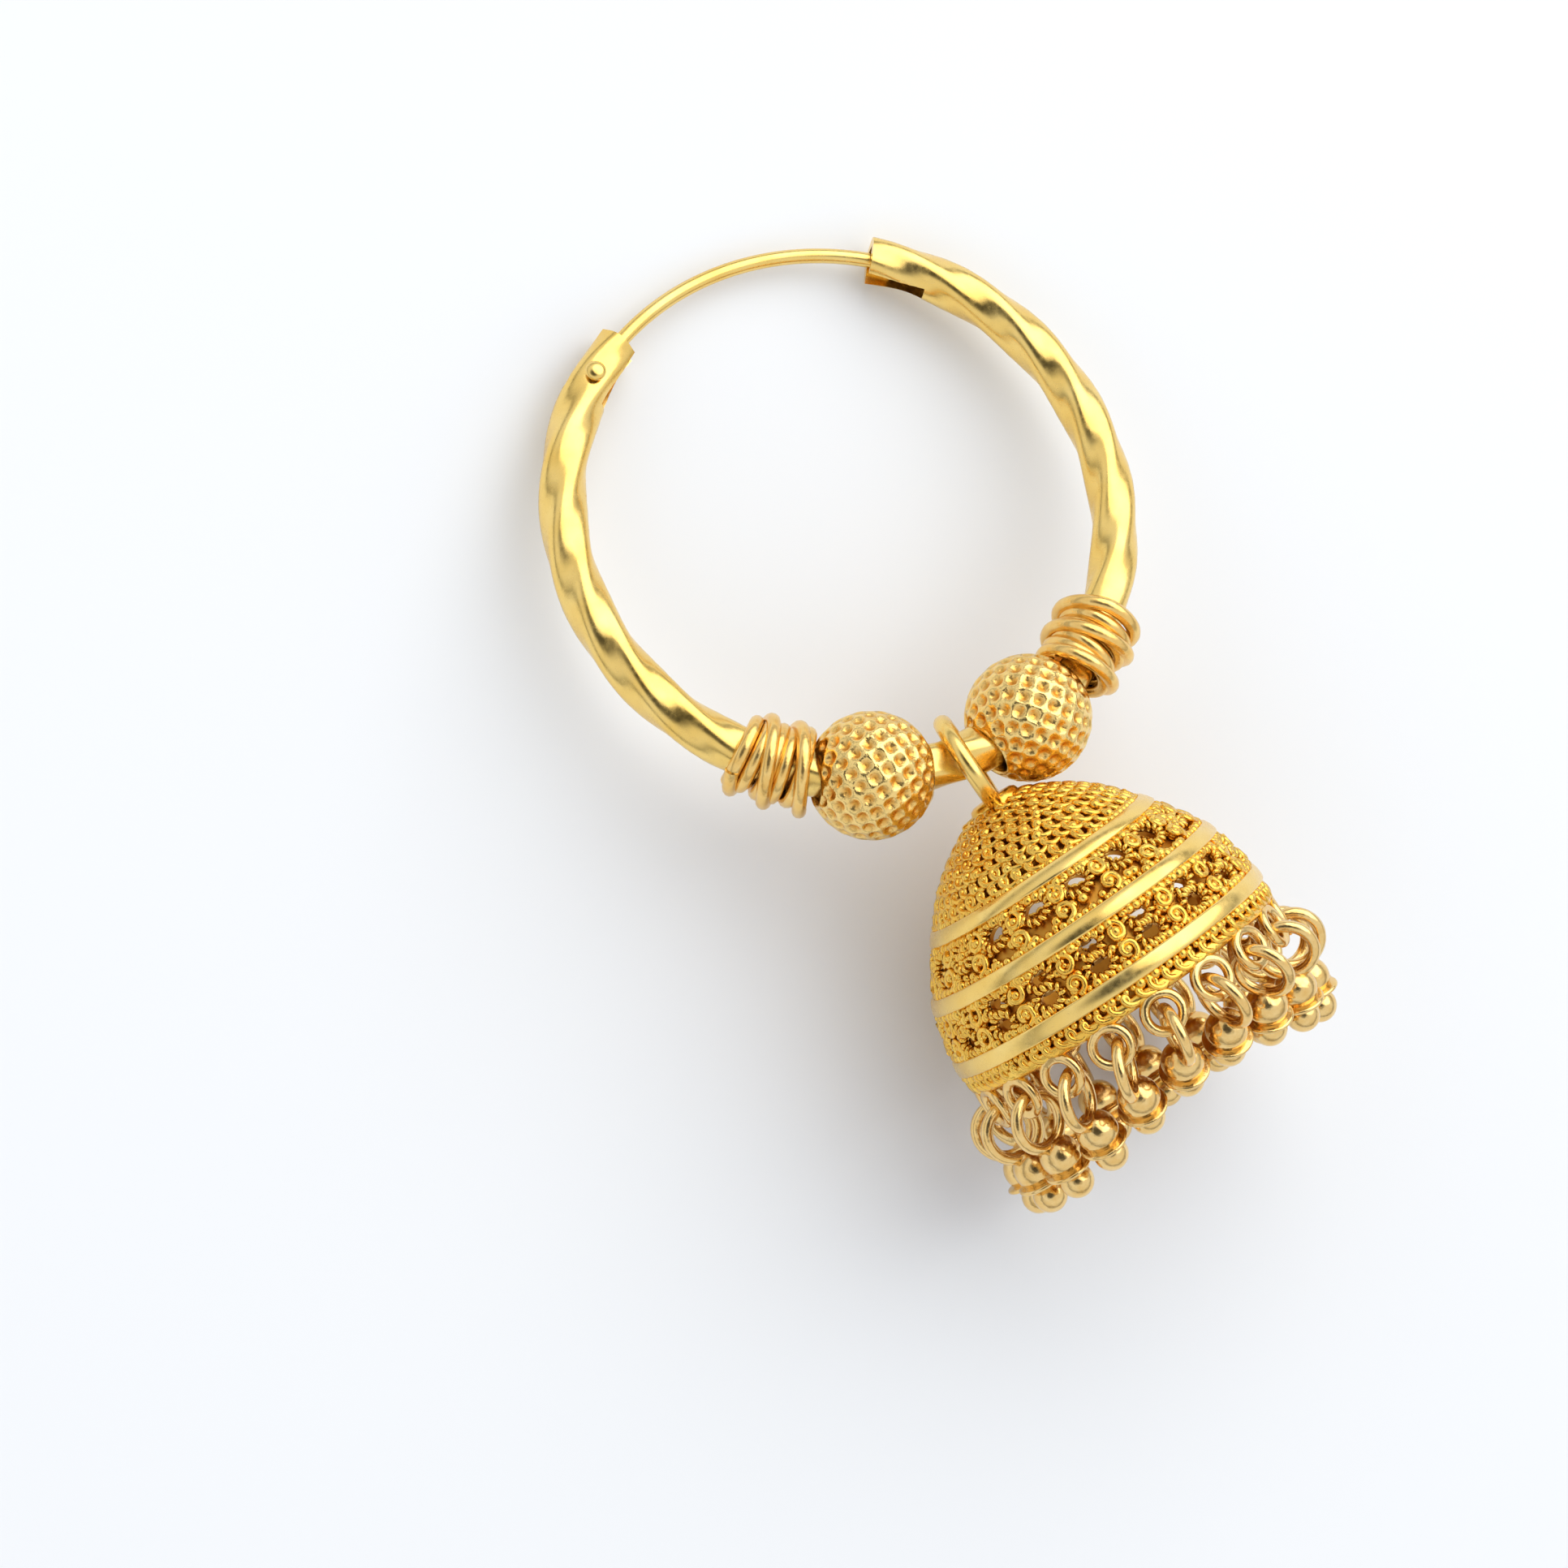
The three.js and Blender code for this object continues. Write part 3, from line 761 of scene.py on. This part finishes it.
# Between the bands run two tiers of windows: one row in the first, two in the second. Both lean a little.
tiers = [
    {"from": ribbonMiddles[0] + 0.5, "to": ribbonMiddles[1] - 0.5, "stack": 1, "shift": 0.5, "lean": 0.55,
     "size": (0.7, 0.62)},
    {"from": ribbonMiddles[1] + 0.5, "to": ribbonMiddles[2] - 0.5, "stack": 2, "shift": 0.0, "lean": 0.14,
     "size": (0.62, 0.47)},
]


def windowsOf(tier):
    high = (tier["to"] - tier["from"]) / tier["stack"]
    width = 360 / bell["columns"]
    for column in range(bell["columns"]):
        angle = bell["phase"] + (column + tier["shift"]) * width
        lean = -tier["lean"] * math.cos(math.radians(angle - bell["phase"]))
        for level in range(tier["stack"]):
            yield angle, tier["from"] + (level + 0.5) * high, high / 2, lean


# How far out a window's edge lies, for a window one across
def windowReach(turn):
    power = bell["windowPower"]
    return (abs(math.cos(turn)) ** power + abs(math.sin(turn)) ** power) ** (-1 / power)


# The backing: rows of cells round the bell, some with a rounded window, then given its thickness
def makeBacking():
    columns, steps = bell["columns"], bell["columnPoints"]
    width = 360 / columns
    points, faces = [], []

    def addStrip(row, nextRow):
        for a in range(len(row) - 1):
            faces.append((row[a], row[a + 1], nextRow[a + 1], nextRow[a]))

    def addRow(length, out):
        start = len(points)
        count = columns * steps
        points.extend(onBell(bell["phase"] + 360 * i / count, length, out) for i in range(count))
        return [start + i % count for i in range(count + 1)]

    def addPlain(first, last, rows, out):
        row = addRow(first, out)
        for i in range(rows):
            nextRow = addRow(first + (last - first) * (i + 1) / rows, out)
            addStrip(row, nextRow)
            row = nextRow

    def addCell(middle, half, length, halfLength, lean, window, out):
        rim = []
        sides = [((-1, -1), (1, -1)), ((1, -1), (1, 1)), ((1, 1), (-1, 1)), ((-1, 1), (-1, -1))]
        for (x0, y0), (x1, y1) in sides:
            for i in range(steps):
                t = i / steps
                rim.append((x0 + (x1 - x0) * t, y0 + (y1 - y0) * t))
        rings = []
        for share in (0, 0.5, 1):
            ringPoints = []
            for x, y in rim:
                turn = math.atan2(y, x)
                reach = windowReach(turn)
                holeX, holeY = window[0] * reach * math.cos(turn), window[1] * reach * math.sin(turn)
                halfArc = math.radians(half) * bellRadius(length)
                u = x * halfArc * (1 - share) + holeX * share
                v = y * halfLength * (1 - share) + (holeY + lean) * share
                angle = middle + math.degrees(u / bellRadius(length))
                ringPoints.append(len(points))
                points.append(onBell(angle, length + v, out))
            rings.append(ringPoints + ringPoints[:1])
        addStrip(rings[0], rings[1])
        addStrip(rings[1], rings[2])

    out = bell["wallOut"]
    edges = [(middle - 0.5, middle + 0.5) for middle in ribbonMiddles]
    addPlain(0.0, edges[0][1], rows=14, out=out)
    for tier in tiers:
        for angle, length, halfLength, lean in windowsOf(tier):
            addCell(angle, width / 2, length, halfLength, lean, tier["size"], out)
    addPlain(edges[1][0], edges[1][1], rows=3, out=out)
    addPlain(edges[2][0], mouthLength - 0.1, rows=6, out=out)
    sheet = tidied(meshOf(points, faces), gap=1e-3)

    def addWall(draft):
        wall = draft.modifiers.new("wall", "SOLIDIFY")
        wall.thickness = bell["wallOut"] - bell["wallIn"]
        wall.offset = -1

    wall = smoothed(evaluated(sheet, addWall), golds["backing"])
    addPiece("bellBacking", wall, bellPlace, sharpAngle=50, nodes=["bell"])


# The plain bands: closed hoops of flat strip with soft edges
def makeRibbons():
    bands = []
    half, proud = bell["ribbonWidth"] / 2, bell["ribbonProud"]
    root, soft, eased, crown = -0.5, 0.12, 0.04, 0.02
    edge = [(half, root), (half, proud - soft), (half - eased, proud - eased), (half - soft, proud)]
    section = [(-across, out) for across, out in edge] + [(0.0, proud + crown)] + edge[::-1]
    for middle in ribbonMiddles:
        profile = []
        for along, out in section:
            place = onBell(0, middle + along, out)
            profile.append((place.z, place.x))
        bands.append(turned(profile, segments=144))
    band = smoothed(joined(bands), golds["burnished"])
    addPiece("bellRibbons", band, bellPlace, sharpAngle=50)


def ringPath(middle, first, second, radius, steps):
    turns = [2 * math.pi * i / steps for i in range(steps)]
    return [middle + (first * math.cos(turn) + second * math.sin(turn)) * radius for turn in turns]


openwork = {
    "seed": 12,
    "capRows": 8,  # rows of loops on the cap
    "capStart": 1.75,  # length along the outline of the first row
    "capGap": 0.95,  # from the last row to the middle of the first band
    "capPitch": 0.74,
    "capLoop": 0.33,
    "capTurn": 40,  # degrees from each row's start to the next one's
    "loopSteps": 14,
    "loopWidth": 0.95,
    "loopTilt": 0.07,
    "edgeGap": 0.14,  # grains along both edges of each band
    "edgePitch": 0.42,
    "frameGap": (0.13, 0.1),  # from a window's edge to the spring round it
    "frameSteps": 28,
    "frameCoil": 0.16,
    "framePitch": 0.36,
    "frameWire": 0.12,
    "closedShare": 0.16,  # share of the windows that a rosette of grains covers
    "rosette": 0.36,
    "looseGrains": 22,  # tried for each column
    "looseGap": 0.3,
    "scroll": 0.52,
    "scrollLoss": 0.3,  # what its radius loses on the way in
    "scrollSteps": 21,
    "scrollGrain": (0.42, 1.08),  # grains beside each scroll, across and along
    "skirtPitch": 0.78,
    "skirtLoop": 0.3,
    "rimWire": 0.34,
    "rimSteps": 120,
    "grainVariation": 0.38,
    "grainSeed": 4,
    "stray": (0.14, 0.16),  # how far a grain on the cap may stray, across and along
    "loopOut": 0.16,  # heights above the wire that lies on the backing
    "frameOut": 0.12,
    "rosetteOut": (0.16, 0.1),
    "scrollOut": (0.2, 0.12),  # at its outer end, and what it gains on the way in
    "grainOut": 0.14,
}


# A row of small loops bent from one wire, all the way round the bell
def loopedRow(length, pitch, width, out, start, wave):
    count = countRound(length, pitch)
    steps = openwork["loopSteps"]
    path = []
    uneven = [wave.uniform(0.75, 1.2) for _ in range(count)]
    for i in range(count * steps):
        t = 2 * math.pi * i / steps
        size = width * uneven[i // steps]
        sideways = math.degrees(size * openwork["loopWidth"] * math.sin(t) / bellRadius(length))
        path.append(onBell(start + 360 * i / (steps * count) + sideways, length + size * math.cos(t),
                           out + openwork["loopTilt"] * math.sin(t)))
    return path


# The cap: rows of loops, each loop with a grain in it
def capWork(chance, out):
    paths, spots = [], []
    first, last = openwork["capStart"], ribbonMiddles[0] - openwork["capGap"]
    pitch, rows = openwork["capPitch"], openwork["capRows"]
    across, along = openwork["stray"]
    for i in range(rows):
        length = first + (last - first) * i / (rows - 1)
        start = openwork["capTurn"] * i
        paths.append((loopedRow(length, pitch, openwork["capLoop"], out + openwork["loopOut"], start, chance),
                      True))
        count = countRound(length, pitch)
        for k in range(count):
            sideways = math.degrees(chance.uniform(-across, across) / bellRadius(length))
            spots.append(onBell(start + 360 * (k + 0.5) / count + sideways,
                                length + chance.uniform(-along, along), out + chance.uniform(0.08, 0.22)))
    return paths, spots


# The openwork: looped wire on the cap, springs round each window, and scrolls with grains between them
def makeOpenwork():
    chance = random.Random(openwork["seed"])
    springPaths = []
    out = bell["wallOut"] + bell["wire"]
    wirePaths, grainSpots = capWork(chance, out)
    for middle in ribbonMiddles:
        for side in (-1, 1):
            length = middle + side * (bell["ribbonWidth"] / 2 + openwork["edgeGap"])
            count = countRound(length, openwork["edgePitch"])
            for k in range(count):
                grainSpots.append(onBell(360 * k / count, length, out + chance.uniform(0.08, 0.16)))
    for tier in tiers:
        middleLength = (tier["from"] + tier["to"]) / 2
        radius = bellRadius(middleLength)
        sizeX, sizeY = tier["size"]

        def beside(angle, across, length, height):
            return onBell(angle + math.degrees(across / radius), length, height)

        for angle, length, _, lean in windowsOf(tier):
            skew = chance.uniform(-0.25, 0.25)
            path = []
            for i in range(openwork["frameSteps"]):
                turn = 2 * math.pi * i / openwork["frameSteps"]
                reach = windowReach(turn)
                u = (sizeX + openwork["frameGap"][0]) * reach * math.cos(turn + skew)
                v = (sizeY + openwork["frameGap"][1]) * reach * math.sin(turn + skew) + lean
                path.append(beside(angle, u, length + v, out + openwork["frameOut"]))
            springPaths.append((path, True))
            if chance.random() < openwork["closedShare"]:
                middleOut, roundOut = openwork["rosetteOut"]
                grainSpots.append(onBell(angle, length + lean, out + middleOut))
                for k in range(6):
                    u, v = [openwork["rosette"] * part(k * math.pi / 3) for part in (math.cos, math.sin)]
                    grainSpots.append(beside(angle, u, length + lean + v, out + roundOut))
        gap = openwork["looseGap"]
        centres = [(angle, length + lean) for angle, length, _, lean in windowsOf(tier)]
        for _ in range(openwork["looseGrains"] * bell["columns"]):
            angle, length = chance.uniform(0, 360), chance.uniform(tier["from"] + 0.2, tier["to"] - 0.2)
            aways = [(math.radians((angle - a + 180) % 360 - 180) * radius, length - b) for a, b in centres]
            if all(math.hypot(u / (sizeX + gap), v / (sizeY + gap)) > 1 for u, v in aways):
                grainSpots.append(onBell(angle, length, out + chance.uniform(0.02, 0.1)))
        scrollOut, scrollGain = openwork["scrollOut"]
        across, along = openwork["scrollGrain"]
        for column in range(bell["columns"]):
            between = bell["phase"] + (column + tier["shift"] + 0.5) * 360 / bell["columns"]
            for side in (-1, 1):
                path = []
                for i in range(openwork["scrollSteps"] + 1):
                    t = i / openwork["scrollSteps"]
                    turn = side * (math.pi * 0.5 + 2.0 * math.pi * t)
                    size = (openwork["scroll"] - openwork["scrollLoss"] * t) * chance.uniform(0.93, 1.05)
                    u = size * math.cos(turn) * 0.95
                    v = side * openwork["scroll"] + size * math.sin(turn)
                    path.append(beside(between, u, middleLength + v, out + scrollOut + scrollGain * t))
                wirePaths.append((path, False))
                grainSpots.append(onBell(between, middleLength + side * 0.5, out + scrollOut))
                for u in (-across, across):
                    spot = beside(between, u, middleLength + side * along, out + openwork["grainOut"])
                    grainSpots.append(spot)
    skirt = (ribbonMiddles[2] + bell["ribbonWidth"] / 2 + mouthLength) / 2
    skirtRow = loopedRow(skirt, openwork["skirtPitch"], openwork["skirtLoop"], out + openwork["grainOut"], 0,
                         chance)
    wirePaths.append((skirtRow, True))
    rim = [onBell(360 * i / openwork["rimSteps"], mouthLength - 0.32, bell["wallIn"] + openwork["rimWire"])
           for i in range(openwork["rimSteps"])]
    gold = golds["soldered"]
    parts = {
        "Wires": grow(roundWire, pathMesh(wirePaths), gold, wire=bell["wire"], sides=6),
        "Springs": grow(spring, pathMesh(springPaths), gold, coil=openwork["frameCoil"],
                        pitch=openwork["framePitch"], wire=openwork["frameWire"], sides=5),
        "Grains": grow(grains, meshOf(grainSpots, []), gold, grain=bell["grain"],
                       variation=openwork["grainVariation"], seed=openwork["grainSeed"]),
        "Rim": grow(roundWire, pathMesh([(rim, True)]), gold, wire=openwork["rimWire"], sides=10),
    }
    for name, part in parts.items():
        addPiece("openwork" + name, tidied(part, gap=1e-5), bellPlace)


rimLoop = {"count": 18, "radius": 0.92, "wire": 0.26, "fromRim": 0.84, "inset": 0.28, "steps": 28}
collar = {
    "outline": [(0.5, 0.0), (0.5, 1.35), (0.1, 1.35), (-0.12, 1.25), (-0.22, 1.05), (-0.26, 0.6), (-0.26, 0.0)],
    "segments": 40,
}


def loopCentre(index):
    turn = 2 * math.pi * (index + 0.5) / rimLoop["count"]
    reach = outline[-1][1] - rimLoop["inset"]
    return Vector((reach * math.cos(turn), reach * math.sin(turn), outline[-1][0] + rimLoop["fromRim"]))


# The ring round the hoop, the collar it is soldered to, and the loops along the rim
def makeRings():
    along = Vector((0, 0, 1))
    turn = math.radians(ring["twist"])
    across = Vector((math.cos(turn), math.sin(turn), 0))
    hanging = ringPath(-along * bell["fromRing"], across, along, ring["radius"], ring["steps"])
    ringMesh = grow(roundWire, pathMesh([(hanging, True)]), golds["burnished"], wire=ring["wire"], sides=16)
    addPiece("hangingRing", tidied(ringMesh), bellPlace, sharpAngle=60)
    cap = smoothed(turned(collar["outline"], collar["segments"]), golds["soldered"])
    addPiece("capCollar", cap, bellPlace, sharpAngle=60)
    paths = []
    for i in range(rimLoop["count"]):
        middle = loopCentre(i)
        sideways = Vector((-middle.y, middle.x, 0)).normalized()
        paths.append((ringPath(middle, sideways, along, rimLoop["radius"], rimLoop["steps"]), True))
    loops = grow(roundWire, pathMesh(paths), golds["tumbled"], wire=rimLoop["wire"], sides=10)
    addPiece("rimLoops", tidied(loops), bellPlace)


drop = {
    "eye": 1.35,  # the eye's radius, to its wire's centre
    "eyeWire": 0.3,
    "ball": 1.05,
    "ballAt": 3.55,  # distances from the eye's top
    "saucer": 1.24,
    "saucerAt": 4.25,
    "saucerEdge": 0.11,
    "tip": 0.85,
    "tipAt": 5.1,
}
fringe = {
    "droop": 12,  # degrees towards the table, halfway round
    "moreOnTop": 16,
    "mostOnTop": 24,
    "evenness": 2.6,
    "sway": -7,
    "turn": 3,
    "turnStep": 2.4,
    "turnUnderneath": 36,
    "slack": 0.29,  # between an eye and the wire of its loop
}


def arcOf(at, radius, first, last, count):
    turns = [math.radians(first + (last - first) * i / (count - 1)) for i in range(count)]
    return [(at - radius * math.cos(turn), radius * math.sin(turn)) for turn in turns]


# One drop, hanging from the origin along +Z
def dropMesh():
    eye = ringPath(Vector((0, 0, drop["eye"])), Vector((1, 0, 0)), Vector((0, 0, 1)), drop["eye"], steps=40)
    eyeMesh = grow(roundWire, pathMesh([(eye, True)]), golds["tumbled"], wire=drop["eyeWire"], sides=12)
    edge = drop["saucerEdge"]
    lip = [(drop["saucerAt"] - edge * math.cos(turn), drop["saucer"] - edge + edge * math.sin(turn))
           for turn in [math.radians(a) for a in range(0, 181, 30)]]
    ball = arcOf(drop["ballAt"], drop["ball"], first=0, last=122, count=15)
    tip = arcOf(drop["tipAt"], drop["tip"], first=48, last=180, count=14)
    ball[0], tip[-1] = (ball[0][0], 0.0), (tip[-1][0], 0.0)
    body = smoothed(turned(ball + lip + tip, segments=32), golds["tumbled"])
    return joined([tidied(eyeMesh), body])


# The drops on top droop most, and those underneath lie near the table
def hangDrop(index):
    middle = loopCentre(index)
    turn = math.atan2(middle.y, middle.x)
    onTop = math.cos(turn)
    steepest = fringe["mostOnTop"] * max(0.0, onTop) ** fringe["evenness"]
    droop = math.radians(fringe["droop"] + fringe["moreOnTop"] * onTop + steepest)
    sway = math.radians(fringe["sway"]) * math.sin(2 * turn)
    along = Vector((-math.sin(droop), math.sin(sway), math.cos(droop))).normalized()
    across = Vector((math.cos(turn), math.sin(turn), 0))
    across = (across - along * across.dot(along)).normalized()
    underneath = max(0.0, -onTop) ** 2
    ownTurn = fringe["turn"] * math.sin(fringe["turnStep"] * index) * (1 - underneath)
    across.rotate(Matrix.Rotation(math.radians(ownTurn + fringe["turnUnderneath"] * underneath), 3, along))
    aboveWire = drop["eyeWire"] + rimLoop["wire"] + fringe["slack"]
    top = middle + Vector((0, 0, rimLoop["radius"])) - along * aboveWire
    return Matrix.Translation(top) @ Matrix((across, along.cross(across), along)).transposed().to_4x4()


def makeFringe():
    pattern = dropMesh()
    for i in range(rimLoop["count"]):
        number = f"{i + 1:02d}"
        mesh = pattern.copy()
        mesh.transform(hangDrop(i))
        addPiece("fringeDrop_" + number, mesh, bellPlace, sharpAngle=50,
                 nodes=["drop_" + number])


makeBacking()
makeRibbons()
makeOpenwork()
makeRings()
makeFringe()

studio = {
    "azimuth": -96.0,  # where the camera stands
    "elevation": 73.5,
    "roll": 76.1,
    "lens": 100.0,
    "frameWidth": 77.4,  # what the frame takes in at the hoop
    "aimRight": -2.835,  # from the hoop's middle
    "aimUp": -13.5,
}


def cameraAxes():
    a, e, r = (math.radians(studio[name]) for name in ("azimuth", "elevation", "roll"))
    back = Vector((math.sin(a) * math.cos(e), -math.cos(a) * math.cos(e), math.sin(e)))
    level = Vector((math.cos(a), math.sin(a), 0))
    right = level * math.cos(r) + back.cross(level) * math.sin(r)
    return right, back.cross(right), back


def makeCamera():
    right, up, back = cameraAxes()
    data = bpy.data.cameras.new("camera")
    data.lens = studio["lens"]
    data.clip_start = 10 * mm
    camera = newObject("camera", data)
    distance = studio["frameWidth"] * mm * data.lens / data.sensor_width
    aim = hoopPlace.translation + (right * studio["aimRight"] + up * studio["aimUp"]) * mm
    facing = Matrix((right, up, back)).transposed().to_4x4()
    camera.matrix_world = Matrix.Translation(aim + back * distance) @ facing
    bpy.context.scene.camera = camera


paper = {"halfWidth": 3.0, "colour": "#F2F5FA", "roughness": 0.9, "specular": 0.1}  # its width is in metres


def makeFloor():
    half = paper["halfWidth"]
    corners = [(-half, -half, 0), (half, -half, 0), (half, half, 0), (-half, half, 0)]
    floor = newObject("floor", meshOf(corners, [(0, 1, 2, 3)]))
    material = bpy.data.materials.new("mattPaper")
    material.use_nodes = True
    shader = material.node_tree.nodes["Principled BSDF"]
    shader.inputs["Base Color"].default_value = toLinear(paper["colour"])
    shader.inputs["Roughness"].default_value = paper["roughness"]
    shader.inputs["Specular IOR Level"].default_value = paper["specular"]
    floor.data.materials.append(material)


lights = {
    "key": {"right": 0.5, "up": 0.6, "back": 0.63, "distance": 560, "size": 800, "power": 2.5,
            "colour": "#FFFCF4"},
}


def makeLights():
    right, up, back = cameraAxes()
    for name, light in lights.items():
        data = bpy.data.lights.new(name, "AREA")
        data.shape = "DISK"
        data.size = light["size"] * mm
        data.energy = light["power"]
        data.color = toLinear(light["colour"])[:3]
        lamp = newObject(name, data)
        away = (right * light["right"] + up * light["up"] + back * light["back"]).normalized()
        lamp.matrix_world = (Matrix.Translation(hoopPlace.translation + away * light["distance"] * mm)
                             @ away.to_track_quat("Z", "Y").to_matrix().to_4x4())


tent = {
    "colour": "#FAFCFF",
    "gapUp": 0.15,  # the dark gap's middle is this far above the camera
    "gapEdge": (0.8, 0.965),  # cosines between which it fades
    "bright": 0.93,
    "dark": 0.06,
    "skirting": (0.02, 0.4),  # heights between which the tent grows brighter
    "low": 0.35,
}


# A white tent round the table, dimmer low down. A dark gap round the camera gives the metal its dark accents.
def makeTent():
    _, up, back = cameraAxes()
    world = bpy.data.worlds.new("tent")
    bpy.context.scene.world = world
    world.use_nodes = True
    tree = world.node_tree
    tree.nodes.clear()
    direction = addNode(tree, "ShaderNodeTexCoord").outputs["Generated"]
    gap = (back + up * tent["gapUp"]).normalized()
    towards = addNode(tree, "ShaderNodeVectorMath", {0: direction, 1: gap}, operation="DOT_PRODUCT")
    shade = addNode(tree, "ShaderNodeMapRange", {
        "Value": towards.outputs["Value"], "From Min": tent["gapEdge"][0], "From Max": tent["gapEdge"][1],
        "To Min": tent["bright"], "To Max": tent["dark"],
    }, interpolation_type="SMOOTHSTEP")
    height = addNode(tree, "ShaderNodeSeparateXYZ", {0: direction}).outputs["Z"]
    skirting = addNode(tree, "ShaderNodeMapRange", {
        "Value": height, "From Min": tent["skirting"][0], "From Max": tent["skirting"][1],
        "To Min": tent["low"], "To Max": 1.0,
    }, interpolation_type="SMOOTHSTEP")
    strength = addNode(tree, "ShaderNodeMath", {0: shade, 1: skirting}, operation="MULTIPLY")
    background = addNode(tree, "ShaderNodeBackground",
                         {"Color": toLinear(tent["colour"]), "Strength": strength})
    addNode(tree, "ShaderNodeOutputWorld", {"Surface": background})


makeFloor()
makeLights()
makeTent()
makeCamera()
bpy.context.scene.view_settings.view_transform = "Standard"
print("jhumka: studio set")
